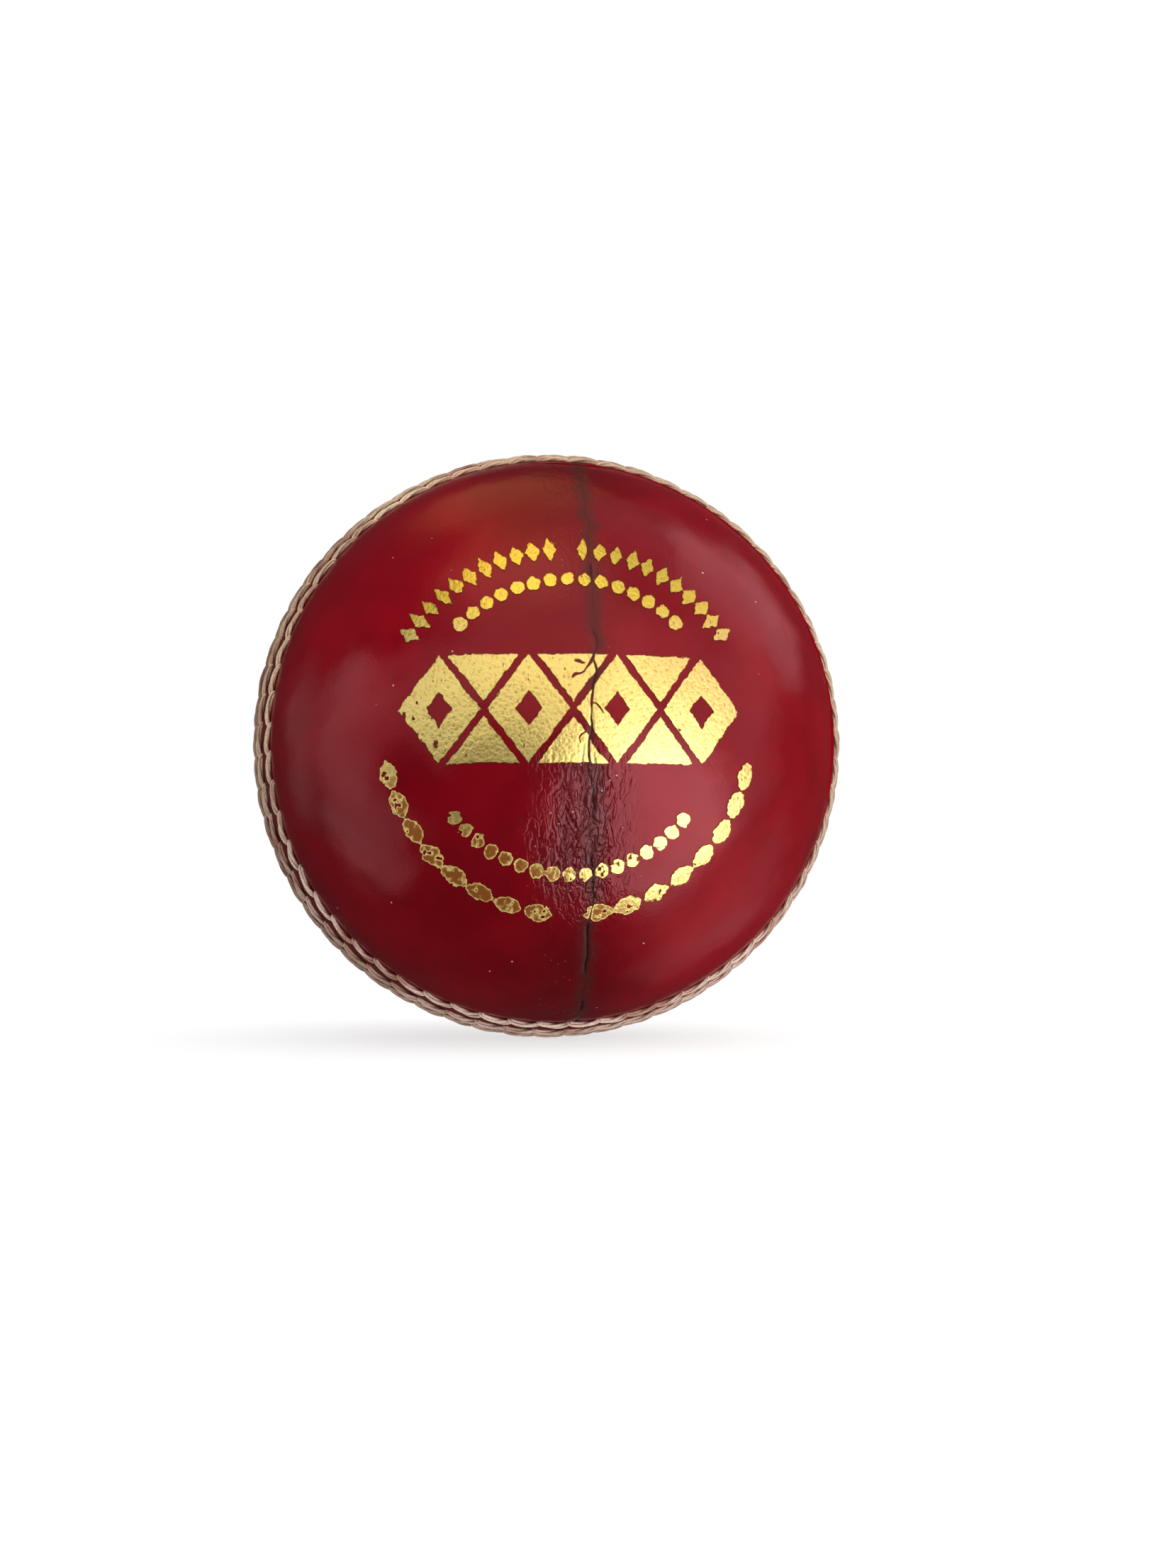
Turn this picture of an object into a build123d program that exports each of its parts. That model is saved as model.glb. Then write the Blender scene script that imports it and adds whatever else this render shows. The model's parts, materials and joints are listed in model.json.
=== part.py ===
from build123d import *

import os
from math import asin, atan2, cos, degrees, hypot, pi, radians, sin, sqrt

# Four-piece, hand-stitched leather cricket ball, in millimetres.
#
# The ball's centre is the origin. The main seam lies in the XZ plane, so the ball's pole axis is Y.
# The front cup faces -Y and carries the foil stamp. Its hidden quarter seam stands upright, and the
# back cup's lies flat, a quarter turn round the pole axis.
#
# From the inside out: a cork nucleus, three yarn windings with two layers of cork strips between
# them, a lining over each quarter seam, four leather quarters, and three sewn threads in six rows.

# Cover
COVER_RADIUS = 35.6
COVER_THICKNESS = 3.6
JOINT_GAP = 0.04  # between any two leather edges
QUARTER_OFFSET_FRONT = 2.6  # the front quarter seam was trimmed off the pole
QUARTER_OFFSET_BACK = 0.0

# Main seam: three rows of stitches on each cup, the outermost row first
OUTER, MIDDLE, CLOSING = range(3)
ROW_OFFSETS = (9.4, 5.7, 2.1)  # distance of each row from the seam plane
SEAM_HALF_WIDTH = 10.3
SEAM_RISE = 0.45  # how far the leather lips stand proud at the seam plane
GROOVE_HALF_WIDTH = 0.85
GROOVE_DEPTH = 0.5
STITCHES_PER_ROW = 60
THREAD_RADIUS = 0.48
THREAD_FLOAT = 0.07  # under the thread, in its groove
THREAD_BEND = 0.6
LEG_LENGTH = 3.4
LEG_LEAN = 45.0
LEG_SPACING = 1.06  # between the two legs that share a hole
STITCH_SKEW = 0.14  # sideways shift at each end of a stitch, which slants it
HOLE_CLEARANCE = 0.06

# Quarter seams: a row of hidden loop stitches, with a lining strip over them
LOOP_COUNT = 27
LOOP_PITCH = 5.0  # degrees along the joint
LOOP_RADIUS = 0.95
LOOP_THREAD_RADIUS = 0.3
LINING_THICKNESS = 0.58
LINING_HALF_WIDTH = 6.5
LINING_END = 11.0  # distance of each end from the seam plane
RECESS_DEPTH = 0.9
RECESS_MARGIN = 0.4

# Quilt: radii of the layer boundaries, from the centre outwards
NUCLEUS_RADIUS = 12.7
INNER_WINDING_RADIUS = 16.0
INNER_CORK_RADIUS = 19.5
MIDDLE_WINDING_RADIUS = 22.5
OUTER_CORK_RADIUS = 26.0
CORK_STRIPS = 6
STRIP_GAP = 0.3
LAYER_GAP = 0.05

# Foil stamp: a plain geometric ornament round the front pole
FOIL_LIFT = 0.02
FOIL_THICKNESS = 0.06
CRACK_WIDTH = 0.12
ARC_OUTER_RADIUS = 20.8
ARC_UPPER_RADIUS = 17.1
ARC_LOWER_RADIUS = 16.2
LOZENGE = (0.85, 1.4)
BEAD_RADIUS = 0.8
LEAF = (1.7, 0.95)
# Arcs of marks: first angle, last angle, how many places and, for some, the place left empty
LOZENGE_ARC = (32.7, 148.7, 23, 11)
UPPER_BEAD_ARC = (46, 136, 15)
LOWER_BEAD_ARC = (217.5, 321.5, 17)
LEAF_ARC = (194, 346, 17, 8)
BAND_CENTRE = 2.2  # height above the pole
BAND_COLUMNS = 4
BAND_PITCH = 9.8
BAND_DIAMOND = (4.55, 6.1)
BAND_HOLE = (1.4, 1.9)
BAND_GAP = 0.75  # between a diamond and the wedges beside it

INNER_RADIUS = COVER_RADIUS - COVER_THICKNESS
PITCH = 360 / STITCHES_PER_ROW
BIG = 3 * COVER_RADIUS


def seam_radius(offset):
    """Radius of the leather surface at a distance from the seam plane, before its grooves."""
    share = max(0.0, 1 - offset / SEAM_HALF_WIDTH)
    return COVER_RADIUS + SEAM_RISE * share


def thread_radius_at(offset):
    """Distance of a row's thread centre from the ball's centre."""
    return seam_radius(offset) - GROOVE_DEPTH + THREAD_FLOAT + THREAD_RADIUS


def on_section(offset, radius):
    """Point of the front cup's half section: X is the distance from the pole axis."""
    return (sqrt(radius**2 - offset**2), -offset)


def surface_point(offset, lift=0.0):
    return on_section(offset, seam_radius(offset) + lift)


def cup_section():
    """Half section of the front cup, with a groove for each row and a rounded ridge between rows."""
    lip = JOINT_GAP / 2
    first = surface_point(ROW_OFFSETS[0] + GROOVE_HALF_WIDTH)
    shoulder = degrees(atan2(-first[1], first[0]))
    outline = [
        Line((0, -INNER_RADIUS), (0, -COVER_RADIUS)),
        CenterArc((0, 0), COVER_RADIUS, 270, 90 - shoulder),
    ]
    outline.append(Line(outline[-1] @ 1, first))
    for row, offset in enumerate(ROW_OFFSETS):
        start = surface_point(offset + GROOVE_HALF_WIDTH)
        floor = surface_point(offset, -GROOVE_DEPTH)
        end = surface_point(offset - GROOVE_HALF_WIDTH)
        outline.append(ThreePointArc(start, floor, end))
        if row + 1 < len(ROW_OFFSETS):
            following = ROW_OFFSETS[row + 1]
            crest = surface_point((offset + following) / 2, SEAM_RISE / 4)
            outline.append(ThreePointArc(end, crest, surface_point(following + GROOVE_HALF_WIDTH)))
    top = surface_point(lip)
    inner = on_section(lip, INNER_RADIUS)
    outline += [
        Line(outline[-1] @ 1, top),
        Line(top, inner),
        ThreePointArc(inner, on_section(INNER_RADIUS * sin(pi / 4), INNER_RADIUS), (0, -INNER_RADIUS)),
    ]
    return make_face(Curve() + outline)


def row_frame(offset):
    """Plane at a row's thread centre: its X runs along the seam and its Z points outwards."""
    tilt = -asin(offset / thread_radius_at(offset))
    outward = Vector(cos(tilt), sin(tilt), 0)
    return Plane(origin=outward * thread_radius_at(offset), x_dir=(0, 0, 1), z_dir=outward)


def lean_of(row):
    """Legs lean towards the row that shares their thread: outer with middle, closing with closing."""
    return LEG_LEAN if row == MIDDLE else -LEG_LEAN


def partner_plane(row, past=0.0):
    """Plane where a leg ends, midway to the row that shares its thread, or a distance past there."""
    if row == CLOSING:
        return Plane(origin=(0, past - JOINT_GAP / 4, 0), z_dir=(0, 1, 0))
    tilts = [asin(ROW_OFFSETS[each] / thread_radius_at(ROW_OFFSETS[each])) for each in (OUTER, MIDDLE)]
    middle = -sum(tilts) / 2
    towards_partner = Vector(-sin(middle), cos(middle), 0) * (1 if row == OUTER else -1)
    return Plane(origin=towards_partner * (past - JOINT_GAP / 4), z_dir=towards_partner)


def rounded_path(points, bend):
    """Polyline through points, with each inner corner rounded to a bend radius."""
    edges = []
    start = Vector(*points[0])
    for before, corner, after in zip(points, points[1:], points[2:]):
        back = (Vector(*before) - Vector(*corner)).normalized()
        forward = (Vector(*after) - Vector(*corner)).normalized()
        half = radians(back.get_angle(forward)) / 2
        reach = bend / (sin(half) / cos(half))
        centre = Vector(*corner) + (back + forward).normalized() * (bend / sin(half))
        middle = centre + (Vector(*corner) - centre).normalized() * bend
        enter = Vector(*corner) + back * reach
        leave = Vector(*corner) + forward * reach
        edges += [Line(start, enter), ThreePointArc(enter, middle, leave)]
        start = leave
    edges.append(Line(start, Vector(*points[-1])))
    return Wire([part.edge() for part in edges])


def stitch(row):
    """One stitch at angle 0: a slanted bar on the leather and two legs down into its holes."""
    offset = ROW_OFFSETS[row]
    radius = thread_radius_at(offset)
    half = radians(PITCH / 2) * sqrt(radius**2 - offset**2) - LEG_SPACING / 2
    lean = radians(lean_of(row))
    sideways, depth = LEG_LENGTH * sin(lean), LEG_LENGTH * cos(lean)
    narrowing = 1 - depth / radius
    points = [
        (-half * narrowing, -STITCH_SKEW + sideways, -depth),
        (-half, -STITCH_SKEW, 0),
        (half, STITCH_SKEW, 0),
        (half * narrowing, STITCH_SKEW + sideways, -depth),
    ]
    path = rounded_path(points, THREAD_BEND)
    profile = Plane(origin=path @ 0, z_dir=path % 0) * Circle(THREAD_RADIUS)
    thread = row_frame(offset) * sweep(profile, path=path)
    return split(thread, bisect_by=partner_plane(row), keep=Keep.BOTTOM)


def hole(row):
    """The slot that two neighbouring stitches share, at angle 0, opened a little above the leather."""
    skew = STITCH_SKEW * cos(radians(LEG_LEAN))
    between = 2 * hypot(LEG_SPACING / 2, skew)
    turn = -degrees(atan2(skew, LEG_SPACING / 2))
    slot = Rot(Z=turn) * SlotCenterToCenter(between, 2 * (THREAD_RADIUS + HOLE_CLEARANCE))
    above = 2 * THREAD_RADIUS
    tool = extrude(Pos(Z=above) * slot, amount=-(above + LEG_LENGTH))
    tool = row_frame(ROW_OFFSETS[row]) * Rot(X=lean_of(row)) * tool
    if row == CLOSING:
        return tool
    return split(tool, bisect_by=partner_plane(row, HOLE_CLEARANCE), keep=Keep.BOTTOM)


def around_seam(shape, phase=0.0):
    return [Rot(Y=phase + PITCH * step) * shape for step in range(STITCHES_PER_ROW)]


def loop_stitches(quarter_offset, thread_radius):
    """Hidden loops across the front quarter seam, each a ring through both leather edges."""
    lowest = INNER_RADIUS + LINING_THICKNESS + LAYER_GAP
    centre = lowest + LOOP_THREAD_RADIUS + LOOP_RADIUS
    loops = []
    for step in range(LOOP_COUNT):
        angle = LOOP_PITCH * (step - (LOOP_COUNT - 1) / 2)
        ring = Plane(origin=(quarter_offset, 0, 0), x_dir=(1, 0, 0), z_dir=(0, 0, 1)) * (
            Pos(0, -sqrt(centre**2 - quarter_offset**2), 0) * Torus(LOOP_RADIUS, thread_radius)
        )
        loops.append(Rot(X=angle) * ring)
    return loops


def shell(outer, inner):
    return Sphere(outer) - Sphere(inner)


def lining_shape(quarter_offset, thickness, margin):
    """Strip that follows the cover's inside over the front quarter seam."""
    width = 2 * (LINING_HALF_WIDTH + margin)
    reach = BIG / 2
    slab = Pos(quarter_offset, -(LINING_END - margin) - reach / 2, 0) * Box(width, reach, BIG)
    return slab & shell(INNER_RADIUS + thickness, INNER_RADIUS)


def half_space(quarter_offset, side):
    """Everything on one side of the quarter joint, short of it by half a joint gap."""
    return Pos(quarter_offset + side * (BIG / 2 + JOINT_GAP / 2), 0, 0) * Box(BIG, BIG, BIG)


def front_cup(quarter_offset):
    """Two leather quarters, as left and right, with every hole that a thread passes through."""
    cup = revolve(cup_section(), Axis.Y)
    holes = [tool for row in (OUTER, MIDDLE, CLOSING) for tool in around_seam(hole(row), PITCH / 2)]
    cup -= holes
    cup -= lining_shape(quarter_offset, RECESS_DEPTH, RECESS_MARGIN)
    cup -= loop_stitches(quarter_offset, LOOP_THREAD_RADIUS + HOLE_CLEARANCE)
    return [cup & half_space(quarter_offset, side) for side in (-1, 1)]


def to_back(shape):
    """Mirrors front geometry to the back cup and turns it a quarter turn round the pole axis."""
    return Rot(Y=90) * mirror(shape, about=Plane.XZ)


def cork_strips(outer, inner):
    """Gores of cork, laid pole to pole round the winding beneath them."""
    section = make_face(
        Curve()
        + [
            CenterArc((0, 0), outer, -90, 180),
            Line((0, outer), (0, inner)),
            CenterArc((0, 0), inner, 90, -180),
            Line((0, -inner), (0, -outer)),
        ]
    )
    sweep_angle = 360 / CORK_STRIPS
    gore = revolve(section, Axis.Y, revolution_arc=sweep_angle)
    trim = Box(STRIP_GAP, BIG, BIG)
    gore -= trim
    gore -= Rot(Y=sweep_angle) * trim
    return [Rot(Y=sweep_angle * step) * gore for step in range(CORK_STRIPS)]


def diamond(half_width, half_height):
    return Polygon((half_width, 0), (0, half_height), (-half_width, 0), (0, -half_height))


def leaf(half_length, half_width):
    """Pointed oval between two arcs."""
    upper = ThreePointArc((-half_length, 0), (0, half_width), (half_length, 0))
    lower = ThreePointArc((half_length, 0), (0, -half_width), (-half_length, 0))
    return make_face(Curve() + [upper, lower])


def along_arc(mark, radius, first, last, count, missing=None):
    """Marks spaced evenly between two angles on a circle, with one place left empty if asked."""
    places = [step for step in range(count) if step != missing]
    return [
        Rot(Z=first + (last - first) * step / (count - 1) - 90) * Pos(0, radius) * mark
        for step in places
    ]


def wedge():
    """Filler above the point where two diamonds of the band meet, with sides parallel to theirs."""
    half_width, half_height = BAND_DIAMOND
    reach = 1 + BAND_GAP * hypot(1 / half_width, 1 / half_height)
    half_top = BAND_PITCH / 2 - half_width * (reach - 1)
    tip = half_height * (reach - BAND_PITCH / 2 / half_width)
    return Polygon((-half_top, half_height), (half_top, half_height), (0, tip), align=None)


def band_places(count):
    return [BAND_PITCH * (step - (count - 1) / 2) for step in range(count)]


def foil_marks():
    """Flat marks of the stamp, drawn as seen from the front."""
    marks = along_arc(diamond(*LOZENGE), ARC_OUTER_RADIUS, *LOZENGE_ARC)
    marks += along_arc(Circle(BEAD_RADIUS), ARC_UPPER_RADIUS, *UPPER_BEAD_ARC)
    marks += along_arc(Circle(BEAD_RADIUS), ARC_LOWER_RADIUS, *LOWER_BEAD_ARC)
    marks += along_arc(leaf(*LEAF), ARC_OUTER_RADIUS, *LEAF_ARC)
    window = diamond(*BAND_DIAMOND) - diamond(*BAND_HOLE)
    marks += [Pos(across, BAND_CENTRE) * window for across in band_places(BAND_COLUMNS)]
    for across in band_places(BAND_COLUMNS - 1):
        marks += [Pos(across, BAND_CENTRE) * Rot(Z=turn) * wedge() for turn in (0, 180)]
    return marks


def foil_stamp():
    """Foil on the front cup, cracked open where it crosses the quarter seam."""
    inner = COVER_RADIUS + FOIL_LIFT
    leafing = shell(inner + FOIL_THICKNESS, inner)
    crack = Pos(QUARTER_OFFSET_FRONT, 0, 0) * Box(CRACK_WIDTH, BIG, BIG)
    pieces = []
    for mark in foil_marks():
        prism = extrude(Plane.XZ * mark, amount=BIG / 2)
        pieces += ((prism & leafing) - crack).solids()
    return pieces


def write(name, shapes):
    solids = [solid for shape in shapes for solid in shape.solids()]
    export_step(Compound(children=solids), f"parts/{name}.step")


def quilt_layers():
    """Solids of each core layer, by node name."""
    return {
        "cork_nucleus": [Sphere(NUCLEUS_RADIUS)],
        "inner_wool_winding": [shell(INNER_WINDING_RADIUS, NUCLEUS_RADIUS + LAYER_GAP)],
        "inner_cork_strips": cork_strips(INNER_CORK_RADIUS, INNER_WINDING_RADIUS + LAYER_GAP),
        "middle_wool_winding": [shell(MIDDLE_WINDING_RADIUS, INNER_CORK_RADIUS + LAYER_GAP)],
        "outer_cork_strips": cork_strips(OUTER_CORK_RADIUS, MIDDLE_WINDING_RADIUS + LAYER_GAP),
        "outer_wool_winding": [shell(INNER_RADIUS - LAYER_GAP, OUTER_CORK_RADIUS + LAYER_GAP)],
    }


def cover_parts():
    """Solids of the leather cover, its linings and its hidden stitches, by node name."""
    left, right = front_cup(QUARTER_OFFSET_FRONT)
    left_twin, right_twin = front_cup(QUARTER_OFFSET_BACK)
    offsets = (QUARTER_OFFSET_FRONT, QUARTER_OFFSET_BACK)
    front_lining, back_lining = [lining_shape(offset, LINING_THICKNESS, 0) for offset in offsets]
    front_loops, back_loops = [loop_stitches(offset, LOOP_THREAD_RADIUS) for offset in offsets]
    return {
        "front_left_quarter": [left],
        "front_right_quarter": [right],
        "back_upper_quarter": [to_back(left_twin)],
        "back_lower_quarter": [to_back(right_twin)],
        "front_seam_lining": [front_lining],
        "back_seam_lining": [to_back(back_lining)],
        "front_quarter_stitches": front_loops,
        "back_quarter_stitches": [to_back(loop) for loop in back_loops],
    }


def seam_rows():
    """Solids of the six visible rows of the main seam, by node name."""
    rows = {}
    for row, name in ((OUTER, "outer"), (MIDDLE, "middle"), (CLOSING, "closing")):
        rows[f"front_{name}_stitches"] = around_seam(stitch(row))
        rows[f"back_{name}_stitches"] = around_seam(to_back(stitch(row)))
    return rows


def main():
    os.makedirs("parts", exist_ok=True)
    nodes = {**quilt_layers(), **cover_parts(), **seam_rows(), "foil_stamp": foil_stamp()}
    for name, shapes in nodes.items():
        write(name, shapes)


main()
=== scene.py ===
import json
from math import cos, pi, radians, sin

import bmesh
import bpy
import numpy as np
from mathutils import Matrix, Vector


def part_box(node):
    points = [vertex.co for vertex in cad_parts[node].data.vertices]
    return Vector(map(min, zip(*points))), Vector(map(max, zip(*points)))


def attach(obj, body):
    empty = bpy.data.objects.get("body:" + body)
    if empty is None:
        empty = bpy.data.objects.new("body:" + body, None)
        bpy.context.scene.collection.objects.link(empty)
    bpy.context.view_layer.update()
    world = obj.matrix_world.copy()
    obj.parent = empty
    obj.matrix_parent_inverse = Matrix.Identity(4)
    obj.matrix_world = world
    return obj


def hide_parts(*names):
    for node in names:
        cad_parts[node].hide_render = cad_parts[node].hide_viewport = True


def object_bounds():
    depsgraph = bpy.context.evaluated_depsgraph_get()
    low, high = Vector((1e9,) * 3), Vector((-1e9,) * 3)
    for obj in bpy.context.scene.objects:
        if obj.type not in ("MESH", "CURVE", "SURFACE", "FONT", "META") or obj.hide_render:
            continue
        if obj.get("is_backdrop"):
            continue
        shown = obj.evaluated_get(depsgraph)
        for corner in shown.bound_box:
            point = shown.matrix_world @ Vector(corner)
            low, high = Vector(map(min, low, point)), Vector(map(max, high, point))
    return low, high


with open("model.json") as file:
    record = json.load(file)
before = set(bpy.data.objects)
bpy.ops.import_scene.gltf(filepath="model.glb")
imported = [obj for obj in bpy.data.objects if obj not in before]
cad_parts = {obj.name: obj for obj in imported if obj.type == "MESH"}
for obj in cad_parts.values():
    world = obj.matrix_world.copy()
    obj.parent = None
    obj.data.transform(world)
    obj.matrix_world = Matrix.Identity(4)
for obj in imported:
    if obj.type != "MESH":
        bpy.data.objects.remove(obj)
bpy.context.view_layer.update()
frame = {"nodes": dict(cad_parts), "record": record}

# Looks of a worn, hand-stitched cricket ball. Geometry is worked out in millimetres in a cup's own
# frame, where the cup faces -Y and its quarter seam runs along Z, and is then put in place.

MM = 0.001
# The material slot of each CAD node
SLOTS = {part["node"]: part["material_slot"] for part in frame["record"]["subparts"]}
SHARP_ANGLE = radians(55)  # edges that turn more than this stay crisp
TINY = 1e-9  # too small to divide by


def extent(node):
    """Lowest and highest corner of a CAD node, in millimetres."""
    low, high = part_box(node)
    return np.array(low) / MM, np.array(high) / MM


# Cover
JOINT_GAP = 0.04  # between the two leather edges of a quarter seam
COVER_RADIUS = -extent("front_left_quarter")[0][1]
COVER_THICKNESS = 3.6
INNER_RADIUS = COVER_RADIUS - COVER_THICKNESS
SPLIT_FRONT = extent("front_left_quarter")[1][0] + JOINT_GAP / 2  # x of the front quarter seam
SEAM_HALF_WIDTH = 10.3
CLEAR_OF_ROWS = SEAM_HALF_WIDTH + 3  # distance from the seam plane where plain leather begins
SEAM_RISE = 0.45  # how far the leather stands proud at the main seam
OUT_OF_ROUND = 1.007  # a used ball is a little wider across than it is high

# Recess inside the cover, over each lining: distances where it starts and where it is full
RECESS_RADIUS = 32.95
RECESS_SIDES = (8.0, 7.0)
RECESS_ENDS = (10.0, 10.5)

# Quarter seam: how far it wanders, over what length and with which seed
SPLIT_WANDERS = ((0.30, 6.0, 21), (0.22, 1.6, 23))
SPLIT_BEND = (0.6, -1.5, 4.5)  # how far sideways, at what height and over what reach
SPLIT_ENDS = (36, 30)  # heights from which it runs straight, and below which it wanders fully

# Stitch rows, outermost first
ROW_NAMES = ("outer", "middle", "closing")
ROW_OFFSETS = (9.4, 5.7, 2.1)
ROW_DRIFT = (0.75, 0.45, 0.10)  # how much further from the seam a row runs on one side of the ball
DRIFT_SIDE = radians(210)
ROW_WANDER = 0.13
STITCHES_PER_ROW = 60
PITCH = 2 * pi / STITCHES_PER_ROW
HOLE_JITTER = 0.05  # share of a pitch
ROW_TOP = 0.5  # thread tops above the leather
ROW_SOIL_AND_SHADE = (0.0, 0.3, 0.75)  # how dark each row's thread is painted: dirt and painted shade, darkest on the closing row
GROOVE_DEPTHS = (0.14, 0.42, 0.5)
GROOVE_SIDES = (0.25, 1.0)  # half width of a groove's flat floor, and of the groove at its top
DIMPLE_DEPTHS = (0.15, 0.3, 0.35)
DIMPLE_RADIUS = 0.5

# Thread of one stitch
PLIES = 3
PLY_RADIUS = 0.20
PLY_SIDE_ORBIT = 0.25
PLY_RISE_ORBIT = 0.17
PLY_TURNS = 0.55
PLY_SIDES = 8
PLY_WAVES = 7  # how fast a ply swells and narrows along a stitch
STITCH_RINGS = 22
STITCH_SLANT = 0.70
SLANT_SIDE = radians(20)  # stitches slant one way on this side of the ball and back on the other
STITCH_BOW = 0.60  # how much nearer the pole a stitch lies at its holes than between them
STITCH_SAG = 0.26  # how much lower it lies there
STITCH_OVERLAP = 0.42
STITCH_DIVE = 0.8
DIVE_FROM = 0.80  # share of a half stitch where it starts down into its hole
END_NARROWING = 0.35  # how much closer together the plies lie at the ends

# Relief of the worn leather: height or depth, then width or size
LIP_DROP = (0.32, 0.55)  # the lips turn in where the cups meet
PARTING = (0.10, 0.2)  # where the quarter seam stands open
SINKING = (0.03, 1.4)  # shallow valley along the quarter seam
SWELLING = (0.14, 13.0)
DRAWING = (0.09, (12.0, 12.0, 4.0))  # long soft ridges, drawn slantwise
CREASE_DEPTH = 0.08
CREASE_SIZE = (1.3, 1.3, 4.2)
OPEN_LEATHER = (11, 14)  # distance from the seam plane over which swelling and puckers set in
PARTED_SIZE = 2.6
PARTED_LOW = (7.0, -2.0)  # heights between which the quarter seam opens up

# Puckered leather beside a quarter seam: distances where it starts and where it is full
PUCKER_LEFT = (8.5, 2.5)
PUCKER_RIGHT = (6.5, 3.0)
PUCKER_RIGHT_CLOSE = (2.6, 0.8)
PUCKER_TOP = (-1.0, -4.5)
PUCKER_BOTTOM = (-23.0, -15.0)

# Painted light and shade on the front cup: patches where the leather's colour is brightened or darkened
# for how the light falls: x, z, reach and strength
PAINTED_LIGHT_PATCHES = (
    (-16.0, 19.0, 12.0, 0.42),
    (20.0, -21.0, 9.0, 0.45),
    (1.0, -31.0, 8.0, -0.45),
    (0.0, 33.0, 8.0, -0.28),
    (-29.0, 8.0, 9.0, 0.30),
    (0.0, 16.0, 7.0, -0.22),
)

# Leather mesh: a belt of rows beside the seam and a cap round the pole, with counts that divide by 4
BELT_DENSE_ROWS = 76
BELT_OPEN_ROWS = 60
BELT_DENSE_END = radians(19.5)
CAP_EDGE = radians(45)
CAP_ROWS = 100
CAP_COLUMNS = 220
CAP_RELAXING = 60
INNER_STRIDE = 4
EDGE_GAP = 0.006

# Foil stamp, in its own flat plane, seen from the front
FOIL_CELL = 0.12
FOIL_REACH = 22.8
FOIL_LIFT = 0.03
FOIL_THICKNESS = 0.03
LOZENGE = (0.85, 1.4)
BEAD_RADIUS = 0.8
LEAF = (1.7, 0.95)
# Arcs of marks: radius, first and last angle, how many places and, for some, the one left empty
LOZENGE_ARC = (20.8, 32.7, 148.7, 23, 11)
UPPER_BEAD_ARC = (17.1, 46, 136, 15)
LOWER_BEAD_ARC = (16.2, 217.5, 321.5, 17)
LEAF_ARC = (20.8, 194, 346, 17, 8)
BAND_CENTRE = 2.2
BAND_COLUMNS = 4
BAND_PITCH = 9.8
BAND_DIAMOND = (4.55, 6.1)
BAND_HOLE = (1.4, 1.9)
BAND_GAP = 0.75
# Cracks in the foil where the leather below it bends: both ends and half width
FOIL_CRACKS = (
    ((2.7, 8.6), (1.2, 6.3), 0.13),
    ((1.4, 6.5), (-0.3, 5.5), 0.10),
    ((0.2, 7.7), (1.2, 7.3), 0.09),
    ((2.2, 3.0), (3.4, 1.6), 0.08),
    ((1.6, 0.2), (0.6, -1.6), 0.08),
    ((2.0, -1.2), (3.2, -3.0), 0.09),
)
CRACK_TAPER = 0.3
CRACK_WANDER = 0.22
SEAM_CRACK = 0.05  # least half width of the crack over the quarter seam
SMALL_MARKS = (12.0, 15.0)  # distance from the pole where the band ends and the arcs begin
RUBBED_AND_DARK_REFLECTING_SLOPE = 0.55  # the stamp is rubbed low down, and lower on the right by this slope; the same slope bounds the foil's painted dark reflection
FULL_FOIL = 0.80  # share of the leather's grain that the foil bridges where it isn't worn
CROSSING_MARGIN = 0.08  # keeps outline points off the grid's own points


# ------ noise and small helpers


def smooth(low, high, value):
    """0 at low, 1 at high and a smooth step between; low may be the larger."""
    share = np.clip((value - low) / (high - low), 0, 1)
    return share * share * (3 - 2 * share)


def bell(distance, width):
    """1 at no distance, falling off over a width."""
    return np.exp(-(distance**2) / width**2)


def hashed(cells, seed):
    """Repeatable numbers from -1 to 1, one for each whole-numbered cell."""
    mask = np.uint64(0xFFFFFFFF)
    cells = cells.astype(np.int64).astype(np.uint64) & mask
    code = cells[..., 0] * np.uint64(374761393) + cells[..., 1] * np.uint64(668265263)
    code = (code + cells[..., 2] * np.uint64(2246822519) + np.uint64(seed * 3266489917)) & mask
    code = ((code ^ (code >> np.uint64(13))) * np.uint64(1274126177)) & mask
    code = ((code ^ (code >> np.uint64(15))) * np.uint64(2654435761)) & mask
    code = code ^ (code >> np.uint64(16))
    return (code & np.uint64(0xFFFFFF)).astype(float) / 0x7FFFFF - 1


def noise(points, size, seed):
    """Smooth noise from -1 to 1, with features of the given size, which may differ by axis."""
    scaled = points / np.array(size)
    cell = np.floor(scaled)
    part = scaled - cell
    part = part * part * part * (part * (part * 6 - 15) + 10)
    total = np.zeros(points.shape[:-1])
    for corner in np.ndindex(2, 2, 2):
        weight = np.prod([part[..., i] if corner[i] else 1 - part[..., i] for i in range(3)], axis=0)
        total += weight * hashed(cell + np.array(corner), seed)
    return total


def fractal(points, size, seed, octaves=3):
    """Noise with finer and weaker noise added to it."""
    size = np.array(size, float)
    return sum(noise(points, size / 2**i, seed + i) / 2**i for i in range(octaves)) / 1.75


def wave(angle, seed):
    """Smooth repeating wander from about -1 to 1 as an angle goes round."""
    rng = np.random.default_rng(seed)
    turns = range(2, 10)
    parts = [np.sin(k * angle + rng.uniform(0, 2 * pi)) * rng.uniform(0.4, 1) for k in turns]
    return sum(parts) / (0.55 * len(parts))


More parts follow.
